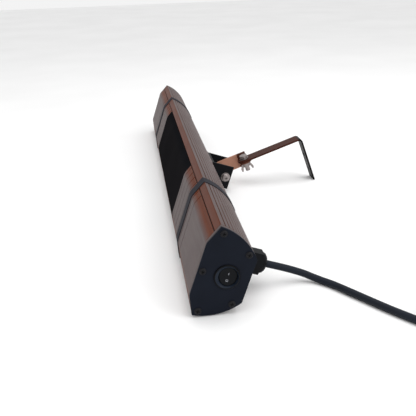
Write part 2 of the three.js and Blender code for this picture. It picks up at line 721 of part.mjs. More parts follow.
const plug = new THREE.Group();
plug.position.set(PLUG.x, PLUG.y, PLUG.radius + 0.1);
plug.rotation.z = rad(90);
plug.add(...plugParts());

const heater = new THREE.Group();
heater.add(
  bar,
  mesh("cord_tube", cordTube(ROUTE), "cord"),
  mesh("cord_coil", coilRing(), "cord"),
  mesh("cord_tail", cordTube(TAIL), "cord"),
  mesh("coil_tie", coilTie(), "black"),
  plug,
);

export default heater;
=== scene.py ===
"""Looks of the infrared strip heater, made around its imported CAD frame.

Pieces of the bar are drawn in millimetres in the bar's own axes (x along the bar, y from front to
back with the back flat at 0, z up) and pieces of the arm in the arm's (y along the arm from the
tilt pivot, z square to it). Each piece is then put in its place in the frame, in metres.
"""
import json
import math

import bmesh
import bpy
from mathutils import Matrix, Vector


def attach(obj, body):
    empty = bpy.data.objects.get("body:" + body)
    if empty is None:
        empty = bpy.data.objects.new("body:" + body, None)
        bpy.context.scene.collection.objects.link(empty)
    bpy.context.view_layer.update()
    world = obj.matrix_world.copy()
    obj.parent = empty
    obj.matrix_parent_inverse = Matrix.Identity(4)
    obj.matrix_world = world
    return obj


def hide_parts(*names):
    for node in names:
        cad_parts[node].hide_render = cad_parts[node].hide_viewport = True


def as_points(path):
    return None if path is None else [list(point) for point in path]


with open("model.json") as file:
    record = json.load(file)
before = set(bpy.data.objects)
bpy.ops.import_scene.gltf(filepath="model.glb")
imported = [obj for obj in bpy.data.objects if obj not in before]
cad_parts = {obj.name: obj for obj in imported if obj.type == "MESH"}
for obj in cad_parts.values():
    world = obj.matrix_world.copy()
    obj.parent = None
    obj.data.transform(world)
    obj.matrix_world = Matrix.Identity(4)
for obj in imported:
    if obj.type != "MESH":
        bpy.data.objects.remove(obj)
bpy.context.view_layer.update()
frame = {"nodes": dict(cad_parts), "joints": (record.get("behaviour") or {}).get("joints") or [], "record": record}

MM = 0.001

# ---- places taken from the frame -----------------------------------------------------------------

joints = {j["name"]: j for j in frame["joints"]}
mounts = {m["name"]: m for m in frame["record"]["mounts"]}

SWITCH_DEPTH = 26.7         # from the back flat to the rocker's pivot
KEY_PIVOT = 3.2             # the pivot's depth under the bar's end

rock = joints["switch_rock"]
bar_y = Vector(rock["axis"])
bar_tilt = math.atan2(-bar_y.z, bar_y.y)
key_at = Vector((430 - KEY_PIVOT, 0, 0)) * MM
bar_origin = Vector(rock["pos_m"]) - key_at + bar_y * SWITCH_DEPTH * MM
BAR = Matrix.Translation(bar_origin) @ Matrix.Rotation(-bar_tilt, 4, "X") @ Matrix.Scale(MM, 4)

leg = mounts["wall_face"]
arm_rise = math.atan2(leg["axis"][2], leg["axis"][1])
pivot = Vector((bar_origin.x, joints["tilt"]["pos_m"][1], joints["tilt"]["pos_m"][2]))
ARM = Matrix.Translation(pivot) @ Matrix.Rotation(arm_rise, 4, "X") @ Matrix.Scale(MM, 4)

# ---- the heater's own sizes, in millimetres ------------------------------------------------------

BAR_LENGTH = 860
HALF = BAR_LENGTH / 2
RIDGE = (-50.5, 55.0)
FRONT_EDGE = (-60.4, 32.2)
BACK_EDGE = (0.0, 27.3)
ARC_RADIUS = 69.5
SEAM_SHARE = 0.41
WALL = 2.2
LIP_DEPTH = 3.2
FRAME_END = 7.3
GAP = 0.3
PANEL_START = 248
STRAP_START, STRAP_WIDTH, STRAP_PROUD = 148, 18, 1.0
CROSS_GROOVES = (122, 142, 174, 196, 217, 238)
RIB_FIRST, RIB_STEP, RIB_COUNT = 99.3, 4.1, 11
CAP_SCREWS = ((45.6, 48.3), (45.6, -48.3), (10.8, 31), (10.8, -31), (54.9, 0))
SCREW_FACE, CROSS_REACH = 1.2, 2.6
BEZEL_LINE, FUNNEL_FROM = 13.6, 10.2
KEY_REST = 8                # degrees, pressed in on its upper side
KEY_ASIDE = 1.5
GLAND_X, GLAND_END = HALF - 62, 32.5
CORD_DIAMETER = 9.0

# ---- camera --------------------------------------------------------------------------------------

CAMERA_AT = Vector((1.02303, -0.18018, 0.36468))
CAMERA_RIGHT = Vector((0.129333, 0.991069, -0.032478))
CAMERA_DOWN = Vector((0.358885, -0.077317, -0.930174))
LENS = 53.263


def make_camera():
    data = bpy.data.cameras.new("camera")
    data.lens = LENS
    data.sensor_width = 36
    data.clip_start = 0.01
    camera = bpy.data.objects.new("camera", data)
    up = -CAMERA_DOWN
    toward = CAMERA_RIGHT.cross(up)
    turn = Matrix((CAMERA_RIGHT, up, toward)).transposed().to_4x4()
    camera.matrix_world = Matrix.Translation(CAMERA_AT) @ turn
    bpy.context.scene.collection.objects.link(camera)
    bpy.context.scene.camera = camera


make_camera()

# ---- cord ----------------------------------------------------------------------------------------

ROUTE = [
    (367.8, -36, 27.9), (367.8, -29, 25.5), (367.8, -22, 23.1), (367.8, -10.2, 18.9),
    (368.3, 1.1, 14.7), (370, 12, 10.6), (374, 21.6, 7), (381.5, 31.1, 5),
    (393, 41.5, 4.6), (408, 51.6, 4.6), (423.2, 61.4, 4.6),
    (441.4, 73.1, 4.6), (459.4, 85, 4.6), (476, 97, 4.6), (484.9, 103.5, 4.6), (492.8, 109.4, 4.6),
]
TAIL = [(453.2, 236.1, 16.2), (445, 236.1, 17.4), (438.3, 236.1, 18.1)]
COIL_CENTRE = (488, 177.1)
COIL_RADII = (59, 49.8, 40.6)
COIL_FIRST = -55.1          # where the cord joins the coil, degrees round its centre
COIL_LOW, COIL_HIGH = 4.6, 13.8
COIL_LEAVES = 90            # where it leaves for the plug
STEPS_PER_TURN = 48
PLUG_AT = (438.0, 236.1, 18.1)


def ease(t):
    t = min(max(t, 0.0), 1.0)
    return t * t * (3 - 2 * t)


def coil_points():
    """Three turns inwards on the floor, then three turns outwards on top of them."""
    lower, upper = COIL_RADII, COIL_RADII[::-1]
    last = 5 + (COIL_LEAVES - COIL_FIRST) / 360
    count = round(last * STEPS_PER_TURN)
    points = []
    for i in range(count + 1):
        turn = last * i / count
        ring = min(int(turn), 5)
        part = turn - ring
        radii = lower + upper
        nxt = radii[min(ring + 1, 5)]
        radius = radii[ring] + (nxt - radii[ring]) * ease((part - 0.7) / 0.3)
        height = COIL_LOW + (COIL_HIGH - COIL_LOW) * ease((turn - 2.35) / 0.5)
        angle = math.radians(COIL_FIRST + 360 * turn)
        points.append((COIL_CENTRE[0] + radius * math.cos(angle),
                       COIL_CENTRE[1] + radius * math.sin(angle), height))
    return points


def smooth_path(points, step):
    """Centripetal Catmull-Rom curve through the points, evened out to the given step."""
    pts = [Vector(p) for p in points]
    pts = [2 * pts[0] - pts[1]] + pts + [2 * pts[-1] - pts[-2]]
    dense = []
    for p0, p1, p2, p3 in zip(pts, pts[1:], pts[2:], pts[3:]):
        t0 = 0.0
        t1 = t0 + (p1 - p0).length ** 0.5
        t2 = t1 + (p2 - p1).length ** 0.5
        t3 = t2 + (p3 - p2).length ** 0.5
        for i in range(12):
            t = t1 + (t2 - t1) * i / 12
            a1 = p0 * ((t1 - t) / (t1 - t0)) + p1 * ((t - t0) / (t1 - t0))
            a2 = p1 * ((t2 - t) / (t2 - t1)) + p2 * ((t - t1) / (t2 - t1))
            a3 = p2 * ((t3 - t) / (t3 - t2)) + p3 * ((t - t2) / (t3 - t2))
            b1 = a1 * ((t2 - t) / (t2 - t0)) + a2 * ((t - t0) / (t2 - t0))
            b2 = a2 * ((t3 - t) / (t3 - t1)) + a3 * ((t - t1) / (t3 - t1))
            dense.append(b1 * ((t2 - t) / (t2 - t1)) + b2 * ((t - t1) / (t2 - t1)))
    dense.append(pts[-2])
    total = sum((q - p).length for p, q in zip(dense, dense[1:]))
    count = max(2, round(total / step))
    even, reached, target = [dense[0]], 0.0, total / count
    for p, q in zip(dense, dense[1:]):
        span = (q - p).length
        while reached + span >= target and len(even) < count:
            even.append(p.lerp(q, (target - reached) / span))
            target += total / count
        reached += span
    even.append(dense[-1])
    return even


def add_object(name, bm, matrix=Matrix.Identity(4)):
    mesh = bpy.data.meshes.new(name)
    bmesh.ops.recalc_face_normals(bm, faces=bm.faces)
    for face in bm.faces:
        face.smooth = True
    bm.to_mesh(mesh)
    bm.free()
    mesh.transform(matrix)
    made = bpy.data.objects.new(name, mesh)
    bpy.context.scene.collection.objects.link(made)
    return made


def tube_along(name, path, radius, sides):
    """Closed round tube along a path, in metres; its side rings never twist."""
    bm = bmesh.new()
    side = None
    rings = []
    for i, point in enumerate(path):
        ahead = (path[min(i + 1, len(path) - 1)] - path[max(i - 1, 0)]).normalized()
        if side is None:
            side = ahead.orthogonal().normalized()
        side = (side - ahead * side.dot(ahead)).normalized()
        other = ahead.cross(side)
        ring = []
        for k in range(sides):
            angle = 2 * math.pi * k / sides
            ring.append(bm.verts.new(point + radius * (side * math.cos(angle) + other * math.sin(angle))))
        rings.append(ring)
    for first, second in zip(rings, rings[1:]):
        for k in range(sides):
            bm.faces.new((first[k], first[(k + 1) % sides], second[(k + 1) % sides], second[k]))
    bm.faces.new(rings[0][::-1])
    bm.faces.new(rings[-1])
    return add_object(name, bm)


def in_bar(x, y, z):
    return BAR @ Vector((x, y, z))


def make_cord():
    gland_inside = in_bar(GLAND_X, 22, 0) / MM
    plug_inside = (PLUG_AT[0] - 6, PLUG_AT[1], PLUG_AT[2])
    route = [tuple(gland_inside)] + ROUTE + coil_points() + TAIL + [plug_inside]
    path = [p * MM for p in smooth_path(route, 3.0)]
    return tube_along("mains_cord", path, CORD_DIAMETER / 2 * MM, 20), path


cord, cord_path = make_cord()
cord_length = sum((q - p).length for p, q in zip(cord_path, cord_path[1:]))

# ---- mesh helpers --------------------------------------------------------------------------------


def soften(piece, width, segments=2, angle=32):
    """Rounds a piece's sharp edges, with flat faces kept flat in the light."""
    bevel = piece.modifiers.new("edge", "BEVEL")
    bevel.width = width * MM
    bevel.segments = segments
    bevel.limit_method = "ANGLE"
    bevel.angle_limit = math.radians(angle)
    bevel.use_clamp_overlap = True
    bevel.harden_normals = False
    normals = piece.modifiers.new("normals", "WEIGHTED_NORMAL")
    normals.keep_sharp = True
    return piece


def sharpen(piece, angle=35):
    """Marks edges above an angle as sharp, on a piece that is otherwise smooth."""
    bm = bmesh.new()
    bm.from_mesh(piece.data)
    for edge in bm.edges:
        edge.smooth = not (len(edge.link_faces) == 2 and edge.calc_face_angle(0) > math.radians(angle))
    bm.to_mesh(piece.data)
    bm.free()
    return piece


def lathe(name, profile, matrix, segments=64):
    """Turned piece: (radius, height) pairs about the local z axis, then the matrix."""
    bm = bmesh.new()
    rings = []
    for radius, height in profile:
        if radius < 1e-6:
            rings.append([bm.verts.new((0, 0, height))])
            continue
        rings.append([bm.verts.new((radius * math.cos(2 * math.pi * k / segments),
                                    radius * math.sin(2 * math.pi * k / segments), height))
                      for k in range(segments)])
    for first, second in zip(rings, rings[1:]):
        for k in range(segments):
            n = (k + 1) % segments
            if len(first) == 1:
                bm.faces.new((first[0], second[k], second[n]))
            elif len(second) == 1:
                bm.faces.new((first[k], first[n], second[0]))
            else:
                bm.faces.new((first[k], first[n], second[n], second[k]))
    if profile[0] == profile[-1]:
        bmesh.ops.remove_doubles(bm, verts=bm.verts, dist=1e-4)
    return sharpen(add_object(name, bm, matrix))


ALONG_X = Matrix.Rotation(math.pi / 2, 4, "Y")


def prism(name, points, start, end, matrix):
    """Solid of an outline in (x, y), from start to end along z, then the matrix."""
    bm = bmesh.new()
    lower = [bm.verts.new((x, y, start)) for x, y in points]
    upper = [bm.verts.new((x, y, end)) for x, y in points]
    for k in range(len(points)):
        n = (k + 1) % len(points)
        bm.faces.new((lower[k], lower[n], upper[n], upper[k]))
    bm.faces.new(lower[::-1])
    bm.faces.new(upper)
    return sharpen(add_object(name, bm, matrix))


def refined(node, width, segments=2, second_from=None):
    """A CAD node's own shape, welded and with its edges rounded.

    Past `second_from` (millimetres along the arm) its faces take their look's second colour: painted shade on the
    link, a painted dark reflection on the arm's leg.
    """
    bm = bmesh.new()
    bm.from_mesh(frame["nodes"][node].data)
    bmesh.ops.remove_doubles(bm, verts=bm.verts, dist=2e-6)
    bmesh.ops.dissolve_limit(bm, angle_limit=math.radians(0.6), verts=bm.verts, edges=bm.edges)
    if second_from is not None:
        along = ARM.to_3x3() @ Vector((0, 1, 0))
        everything = bm.verts[:] + bm.edges[:] + bm.faces[:]
        bmesh.ops.bisect_plane(bm, geom=everything, plane_co=ARM @ Vector((0, second_from, 0)),
                               plane_no=along.normalized())
        layer = bm.faces.layers.float.new("tone")
        back_to_arm = ARM.inverted()
        for face in bm.faces:
            face[layer] = float((back_to_arm @ face.calc_center_median()).y > second_from)
    piece = sharpen(add_object(f"{node}_finish", bm), 50)
    return soften(piece, width, segments)


# ---- materials -----------------------------------------------------------------------------------


class Surface:
    """A material with its Principled shader and short ways to add nodes to it."""

    def __init__(self, name, **values):
        self.material = bpy.data.materials.new(name)
        self.material.use_nodes = True
        self.tree = self.material.node_tree
        self.shader = self.tree.nodes["Principled BSDF"]
        for key, value in values.items():
            self.shader.inputs[key.replace("_", " ")].default_value = value
        self.coordinates = self.tree.nodes.new("ShaderNodeTexCoord").outputs["Object"]

    def link(self, source, target):
        self.tree.links.new(source, target)

    def noise(self, scale, detail=3.0, stretch=(1, 1, 1), distortion=0.0):
        mapping = self.tree.nodes.new("ShaderNodeMapping")
        mapping.inputs["Scale"].default_value = stretch
        self.link(self.coordinates, mapping.inputs["Vector"])
        texture = self.tree.nodes.new("ShaderNodeTexNoise")
        texture.inputs["Scale"].default_value = scale
        texture.inputs["Detail"].default_value = detail
        texture.inputs["Distortion"].default_value = distortion
        self.link(mapping.outputs["Vector"], texture.inputs["Vector"])
        return texture.outputs["Fac"]

    def ramp(self, factor, low, high, first, second):
        """Maps a factor between two positions to two colours or grey levels."""
        node = self.tree.nodes.new("ShaderNodeValToRGB")
        node.color_ramp.elements[0].position = low
        node.color_ramp.elements[1].position = high
        for element, value in zip(node.color_ramp.elements, (first, second)):
            element.color = (*value, 1) if isinstance(value, tuple) else (value, value, value, 1)
        self.link(factor, node.inputs["Fac"])
        return node.outputs["Color"]

    def spread(self, factor, colours):
        """Spreads three or more colours evenly over a factor, or two from end to end."""
        node = self.tree.nodes.new("ShaderNodeValToRGB")
        stops = node.color_ramp.elements
        while len(stops) < len(colours):
            stops.new(0.5)
        for i, colour in enumerate(colours):
            stops[i].position = i / (len(colours) - 1)
            stops[i].color = (*colour, 1)
        self.link(factor, node.inputs["Fac"])
        return node.outputs["Color"]

    def mix(self, factor, first, second, blend="MIX"):
        node = self.tree.nodes.new("ShaderNodeMix")
        node.data_type = "RGBA"
        node.blend_type = blend
        for source, socket in ((factor, node.inputs[0]), (first, node.inputs[6]), (second, node.inputs[7])):
            if hasattr(source, "is_output"):
                self.link(source, socket)
            elif isinstance(source, tuple):
                socket.default_value = (*source, 1)
            else:
                socket.default_value = source
        return node.outputs[2]

    def bump(self, *heights):
        """Adds bumps, each a (height output, strength, distance in metres)."""
        normal = None
        for height, strength, distance in heights:
            node = self.tree.nodes.new("ShaderNodeBump")
            node.inputs["Strength"].default_value = strength
            node.inputs["Distance"].default_value = distance
            self.link(height, node.inputs["Height"])
            if normal:
                self.link(normal, node.inputs["Normal"])
            normal = node.outputs["Normal"]
        self.link(normal, self.shader.inputs["Normal"])

    def set(self, socket, source):
        self.link(source, self.shader.inputs[socket])

    def attribute(self, name):
        node = self.tree.nodes.new("ShaderNodeAttribute")
        node.attribute_name = name
        return node.outputs["Fac"]


def rgb(red, green, blue):
    """Display colour, 0 to 255, as linear light."""
    def linear(c):
        c /= 255
        return c / 12.92 if c <= 0.04045 else ((c + 0.055) / 1.055) ** 2.4
    return tuple(linear(c) for c in (red, green, blue))


def varied(surface, colour, factor, amount):
    dark = tuple(c * (1 - amount) for c in colour)
    light = tuple(min(1, c * (1 + amount)) for c in colour)
    return surface.ramp(factor, 0.3, 0.7, dark, light)


def anodised(name, *colours, roughness=0.46, metallic=0.12):
    """Drawn aluminium with an anodised colour: fine lines along the bar and cloudy patches.

    Several colours are spread evenly over the mesh attribute "tone", from 0 to 1. On the pieces here the colours
    after the first are painted light: a painted warm reflection, painted shade and a painted dark reflection.
    """
    s = Surface(name, Metallic=metallic, Specular_IOR_Level=0.06)
    lines = s.noise(900, 2, stretch=(0.02, 1, 1))
    cloud = s.noise(22, 3, distortion=0.4)
    base = s.spread(s.attribute("tone"), colours) if len(colours) > 1 else colours[0]
    base = s.mix(1.0, base, s.ramp(cloud, 0.3, 0.7, 0.84, 1.0), "MULTIPLY")
    fine = s.ramp(lines, 0.25, 0.75, (0.9, 0.9, 0.9), (1.0, 1.0, 1.0))
    s.set("Base Color", s.mix(1.0, base, fine, "MULTIPLY"))
    s.set("Roughness", s.ramp(lines, 0.2, 0.8, roughness - 0.06, roughness + 0.07))
    s.bump((lines, 0.12, 0.00004), (s.noise(1600, 2), 0.08, 0.00003))
    return s.material


def moulded(name, colour, roughness, *toned_colours, grain=1400, depth=0.12, specular=0.15):
    """Moulded or coated surface with a fine even grain and slight unevenness.

    More colours are spread evenly over the mesh attribute "tone", after the first; on the pieces here they are
    painted light: painted shade in the screws' cross recesses and round the switch's rim, and painted light on its
    funnel.
    """
    s = Surface(name, Specular_IOR_Level=specular)
    cloud = s.noise(35, 3)
    base = varied(s, colour, cloud, 0.12)
    if toned_colours:
        base = s.mix(1.0, s.spread(s.attribute("tone"), (colour, *toned_colours)),
                     s.ramp(cloud, 0.3, 0.7, 0.88, 1.0), "MULTIPLY")
    s.set("Base Color", base)
    s.set("Roughness", s.ramp(cloud, 0.3, 0.7, roughness - 0.05, roughness + 0.06))
    s.bump((s.noise(grain, 2), depth, 0.00006))
    return s.material


def plated(name, colour, roughness=0.3):
    """Plated steel: soft spangle, faint turning lines and slight tarnish."""
    s = Surface(name, Metallic=0.95)
    spangle = s.noise(260, 4, distortion=0.6)
    s.set("Base Color", varied(s, colour, s.noise(70, 3), 0.13))
    s.set("Roughness", s.ramp(spangle, 0.3, 0.7, roughness - 0.08, roughness + 0.12))
    s.bump((spangle, 0.1, 0.00005))
    return s.material


def dark_glass():
    """Black glass-ceramic with a satin face: faint haze and a fine grain."""
    s = Surface("black_panel_look", Specular_IOR_Level=0.0)
    haze = s.noise(14, 4, distortion=0.5)
    grain = s.noise(2200, 2)
    # Painted shade: the tone darkens the panel to a bluish black up its slope, most at the seam.
    base = s.spread(s.attribute("tone"), (rgb(26, 25, 27), rgb(13, 15, 19)))
    base = s.mix(1.0, base, s.ramp(haze, 0.3, 0.7, 0.75, 1.0), "MULTIPLY")
    s.set("Base Color", s.mix(0.12, base, s.ramp(grain, 0.35, 0.65, 0.004, 0.03)))
    s.set("Roughness", s.ramp(haze, 0.3, 0.7, 0.5, 0.62))
    s.bump((grain, 0.04, 0.00003))
    return s.material


def rubber(name, colour, roughness=0.55):
    """Extruded rubber: matt, dusty in places, with faint lengthways drag marks."""
    s = Surface(name, Specular_IOR_Level=0.15, Sheen_Weight=0.03)
    dust = s.noise(60, 4, distortion=0.3)
    s.set("Base Color", varied(s, colour, dust, 0.18))
    s.set("Roughness", s.ramp(dust, 0.3, 0.7, roughness - 0.08, roughness + 0.1))
    s.bump((s.noise(900, 3), 0.18, 0.00008), (s.noise(120, 2), 0.1, 0.0001))
    return s.material


def ceramic():
    s = Surface("ceramic_look")
    speckle = s.noise(700, 3)
    s.set("Base Color", s.ramp(speckle, 0.3, 0.6, rgb(196, 188, 172), rgb(232, 228, 217)))
    s.set("Roughness", s.ramp(speckle, 0.3, 0.7, 0.6, 0.8))
    s.bump((speckle, 0.25, 0.0001))
    return s.material


def quartz():
    s = Surface("quartz_look", IOR=1.46)
    s.shader.inputs["Transmission Weight"].default_value = 0.85
    streaks = s.noise(90, 2, stretch=(0.1, 1, 1))
    s.set("Base Color", s.ramp(streaks, 0.3, 0.7, (0.9, 0.88, 0.85), (1.0, 0.99, 0.97)))
    s.set("Roughness", s.ramp(streaks, 0.3, 0.7, 0.03, 0.1))
    return s.material


# The first colour is the bar's own taupe. The second is a painted warm reflection on the upper front slope. The
# third is painted shade at the seams, on the lip under them and in the groove floors, and it also paints the
# ridge's rounded edge dark.
TAUPE, WARM_REFLECTION, DARK_BROWN = rgb(92, 80, 79), rgb(97, 43, 15), rgb(36, 20, 15)

LOOKS = {
    # Taupe with painted light laid over it by the tone: a painted warm reflection and painted shade.
    "anodised_taupe": anodised("anodised_taupe_look", TAUPE, WARM_REFLECTION, DARK_BROWN),
    "black_panel": dark_glass(),
    "cap_blue_black": moulded("cap_look", rgb(20, 24, 33), 0.45, specular=0.06),
    "strap_grey": moulded("strap_look", rgb(46, 46, 51), 0.5, specular=0.01),
    # The near-black second colour is painted shade in the cross recesses.
    "black_screw": moulded("black_screw_look", rgb(26, 26, 29), 0.4, rgb(4, 4, 5), specular=0.12),
    "ceramic": ceramic(),
    "polished_steel": plated("polished_steel_look", rgb(205, 205, 205), 0.18),
    "quartz": quartz(),
    "filament_alloy": plated("filament_look", rgb(110, 100, 92), 0.5),
    "zinc_steel": plated("zinc_steel_look", rgb(150, 142, 140), 0.42),
    # Second colour: painted light on the switch's funnel; third: painted shade round its rim.
    "switch_black": moulded("switch_look", rgb(13, 15, 18), 0.35, rgb(27, 34, 45), rgb(4, 4, 6),
                            grain=2200, depth=0.06, specular=0.1),
    "gland_black": moulded("gland_look", rgb(14, 15, 18), 0.42, specular=0.06),
    "bracket_black": moulded("bracket_look", rgb(18, 19, 22), 0.48, grain=700, depth=0.2, specular=0.06),
    # Salmon copper; the brown is painted shade, past 34 mm along the arm.
    "copper_link": anodised("copper_link_look", rgb(190, 140, 118), rgb(96, 60, 48), roughness=0.45),
    # Brown arm; the near-black is a painted dark reflection on its leg.
    "arm_brown": anodised("arm_look", rgb(64, 31, 21), rgb(17, 15, 16), roughness=0.45),
    "cord_rubber": rubber("cord_look", rgb(21, 26, 35)),
    "tie_black": moulded("tie_look", rgb(20, 20, 22), 0.45),
    "plug_black": rubber("plug_look", rgb(22, 24, 28), 0.5),
    "nickel_pin": plated("nickel_look", rgb(190, 186, 176), 0.2),
}
mark_look = moulded("mark_look", rgb(150, 152, 158), 0.5)

slot_of = {part["node"]: part["material_slot"] for part in frame["record"]["subparts"]}
body_of = {node: body for body, nodes in frame["record"]["behaviour"]["bodies"].items() for node in nodes}


def dress(piece, *nodes, body=None, slot=None, look=None):
    """Gives a piece its material, its body and the CAD nodes that it stands for."""
    slot = slot or slot_of[nodes[0]]
    piece.data.materials.clear()
    piece.data.materials.append(look or LOOKS[slot])
    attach(piece, body or body_of[nodes[0]])
    if nodes:
        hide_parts(*nodes)
    return piece


for node, thing in frame["nodes"].items():
    thing.data.materials.clear()
    thing.data.materials.append(LOOKS[slot_of[node]])

# ---- section of the bar --------------------------------------------------------------------------


def arc_centre():
    (x0, y0), (x1, y1) = RIDGE, BACK_EDGE
    chord = math.hypot(x1 - x0, y1 - y0)
    rise = math.sqrt(ARC_RADIUS ** 2 - (chord / 2) ** 2)
    return ((x0 + x1) / 2 + rise * (y1 - y0) / chord, (y0 + y1) / 2 - rise * (x1 - x0) / chord)


CENTRE = arc_centre()


def on_arc(degrees, radius=ARC_RADIUS):
    angle = math.radians(degrees)
    return (CENTRE[0] + radius * math.cos(angle), CENTRE[1] + radius * math.sin(angle))


def angle_of(point):
    return math.degrees(math.atan2(point[1] - CENTRE[1], point[0] - CENTRE[0]))


def between(a, b, t):
    return (a[0] + (b[0] - a[0]) * t, a[1] + (b[1] - a[1]) * t)


def corner(before, at, after, reach, steps):
    """Rounded corner as points of a quadratic curve that starts and ends at `reach` from it."""
    start = between(at, before, reach / math.dist(at, before))
    end = between(at, after, reach / math.dist(at, after))
    return [between(between(start, at, t / steps), between(at, end, t / steps), t / steps)
            for t in range(steps + 1)]


SEAM = between(RIDGE, FRONT_EDGE, SEAM_SHARE)
SEAM_GAP = 0.5              # each side of the seam line
# Tones for painted light: the painted warm reflection on the slope, laid on in bands of varying strength, and the
# darker tone painted at the seam gaps and on the ridge's rounded edge.
WARM_REFLECTION_TONE, RIDGE_TONE = 0.5, 0.85
CHAMFER_REFLECTION_BANDS = ((8, 0.5), (11, 0.62), (13, 0.44), (14.6, 0.6))


def on_chamfer(reach, inward=0.0):
    """Point on the slope from the front corner to the ridge, or under it."""
    x, y = between(FRONT_EDGE, RIDGE, reach / math.dist(FRONT_EDGE, RIDGE))
    run, rise = RIDGE[0] - FRONT_EDGE[0], RIDGE[1] - FRONT_EDGE[1]
    length = math.hypot(run, rise)
    return (x + rise / length * inward, y - run / length * inward)


SEAM_REACH = math.dist(FRONT_EDGE, SEAM)


def front_half():
    """Upper front of the section with its tone, from the front flat's middle to the seam: a painted warm
    reflection that rises round the front corner and up the slope in bands, and painted shade at the seam.
    """
    middle = (FRONT_EDGE[0], 0.0)
    rounded = corner(middle, FRONT_EDGE, RIDGE, 3.2, 8)
    points = [(middle, 0.0)]
    points += [(p, WARM_REFLECTION_TONE * 0.45 * ease(i / 8)) for i, p in enumerate(rounded)]
    points += [(on_chamfer(reach), tone) for reach, tone in ((4.4, 0.3), (6, 0.42)) + CHAMFER_REFLECTION_BANDS
               if reach < SEAM_REACH - SEAM_GAP]
    points.append((on_chamfer(SEAM_REACH - SEAM_GAP), RIDGE_TONE))
    return points


def back_half(ribs=True):
    """Upper back of the section with its tone, from the seam over the curve to the back flat: painted shade at the
    seam, a painted warm reflection on the rest of the slope, a painted dark line on the ridge's rounded edge and
    painted shade in the groove floors.
    """
    first, last = angle_of(RIDGE), angle_of(BACK_EDGE)
    near_ridge, near_back = on_arc(first - 2), on_arc(last + 2)
    ridge_round = corner(SEAM, RIDGE, near_ridge, 0.9, 4)
    points = [(on_chamfer(SEAM_REACH + SEAM_GAP), RIDGE_TONE), (on_chamfer(SEAM_REACH + 1.6), 0.36)]
    points += [(p, tone) for p, tone in zip(ridge_round, (0.4, 0.7, RIDGE_TONE, 0.5, 0.1))]
    angle, step = first - 1.2, 1.0
    grooves = [180 - (RIB_FIRST + RIB_STEP * i) for i in range(RIB_COUNT)] if ribs else []
    while angle > last + 1.2:
        points.append((on_arc(angle), 0.0))
        nearest = min(grooves, key=lambda g: abs(angle - step / 2 - g), default=None)
        if nearest is not None and angle - step <= nearest < angle:
            # The first three grooves are cut wider and deeper, and their floors take a darker painted shade.
            strong = grooves.index(nearest) < 3
            half, depth = (0.52, 0.85) if strong else (0.4, 0.6)
            groove_shade_tone = 0.9 if strong else 0.6
            points.append((on_arc(nearest + half), 0.1))
            points.append((on_arc(nearest + half * 0.45, ARC_RADIUS - depth), groove_shade_tone))
            points.append((on_arc(nearest - half * 0.45, ARC_RADIUS - depth), groove_shade_tone))
            points.append((on_arc(nearest - half), 0.1))
            angle = nearest - half - 0.35
        else:
            angle -= step
    points += [(p, 0.0) for p in corner(near_back, BACK_EDGE, (0.0, 0.0), 0.9, 4)]
    return points


def mirrored(points):
    return [((p[0], -p[1]), tone) for p, tone in reversed(points)]


def offset_path(points, out, closed=False):
    """Moves a path sideways to its left by `out` millimetres; tones stay with their points."""
    moved = []
    count = len(points)
    for i, (p, tone) in enumerate(points):
        before = points[(i - 1) % count][0] if closed or i else None
        after = points[(i + 1) % count][0] if closed or i < count - 1 else None
        normals = []
        for a, b in ((before, p), (p, after)):
            if a is None or b is None:
                continue
            length = math.dist(a, b)
            normals.append((-(b[1] - a[1]) / length, (b[0] - a[0]) / length))
        nx, ny = (sum(n[k] for n in normals) for k in (0, 1))
        scale = out * len(normals) / max(nx * nx + ny * ny, 1e-9)
        moved.append(((p[0] + nx * scale, p[1] + ny * scale), tone))
    return moved


def loft(name, stations):
    """Closed solid through sections; a station is (x, [((y, z), tone), ...]), all of one length."""
    bm = bmesh.new()
    tone_layer = bm.verts.layers.float.new("tone")
    rings = []
    for x, section in stations:
        ring = []
        for (y, z), tone in section:
            vert = bm.verts.new((x, y, z))
            vert[tone_layer] = tone
            ring.append(vert)
        rings.append(ring)
    count = len(rings[0])
    for first, second in zip(rings, rings[1:]):
        for k in range(count):
            bm.faces.new((first[k], first[(k + 1) % count], second[(k + 1) % count], second[k]))
    bm.faces.new(rings[0][::-1])
    bm.faces.new(rings[-1])
    return sharpen(add_object(name, bm, BAR), 28)


# ---- bar pieces ----------------------------------------------------------------------------------


def housing():
    """Back shell; a lip under each seam closes the gap to the front pieces."""
    # The lip and the face under it take tone 1, the darkest: painted shade in the seam gap.
    lip = [(on_chamfer(SEAM_REACH - 3, LIP_DEPTH), 1.0),
           (on_chamfer(SEAM_REACH + SEAM_GAP, LIP_DEPTH), 1.0)]
    under_lip = [(on_chamfer(SEAM_REACH - 3, LIP_DEPTH + 1.4), 1.0),
                 (on_chamfer(SEAM_REACH + 3, LIP_DEPTH + 1.4), 1.0)]
    upper = lip + back_half()
    inner = under_lip + offset_path(back_half(ribs=False)[4:], -WALL)
    section = upper + mirrored(upper) + (inner + mirrored(inner))[::-1]
    half = HALF - FRAME_END - GAP
    return loft("housing_shell", [(-half, section), (half, section)])


def skin_section(thickness, sink=0.0):
    upper = front_half()
    path = mirrored(upper)[:-1] + upper
    return offset_path(path, -sink) + offset_path(path, -thickness)[::-1]


def front_cover(end, label):
    """Cover at one end, with its grooves pressed across it."""
    ends = sorted((end * (HALF - FRAME_END - GAP), end * (HALF - PANEL_START + GAP)))
    stations = [(ends[0], skin_section(WALL))]
    for x in sorted(end * (HALF - w) for w in CROSS_GROOVES):
        for dx, sink in ((-1.0, 0), (-0.6, 0.55), (0.6, 0.55), (1.0, 0)):
            stations.append((x + dx, skin_section(WALL, sink)))
    stations.append((ends[1], skin_section(WALL)))
    return loft(f"front_cover_skin_{label}", stations)


def front_panel():
    half = HALF - PANEL_START
    stations = [(-half, skin_section(3)), (half, skin_section(3))]
    return loft("front_panel_glass", stations)


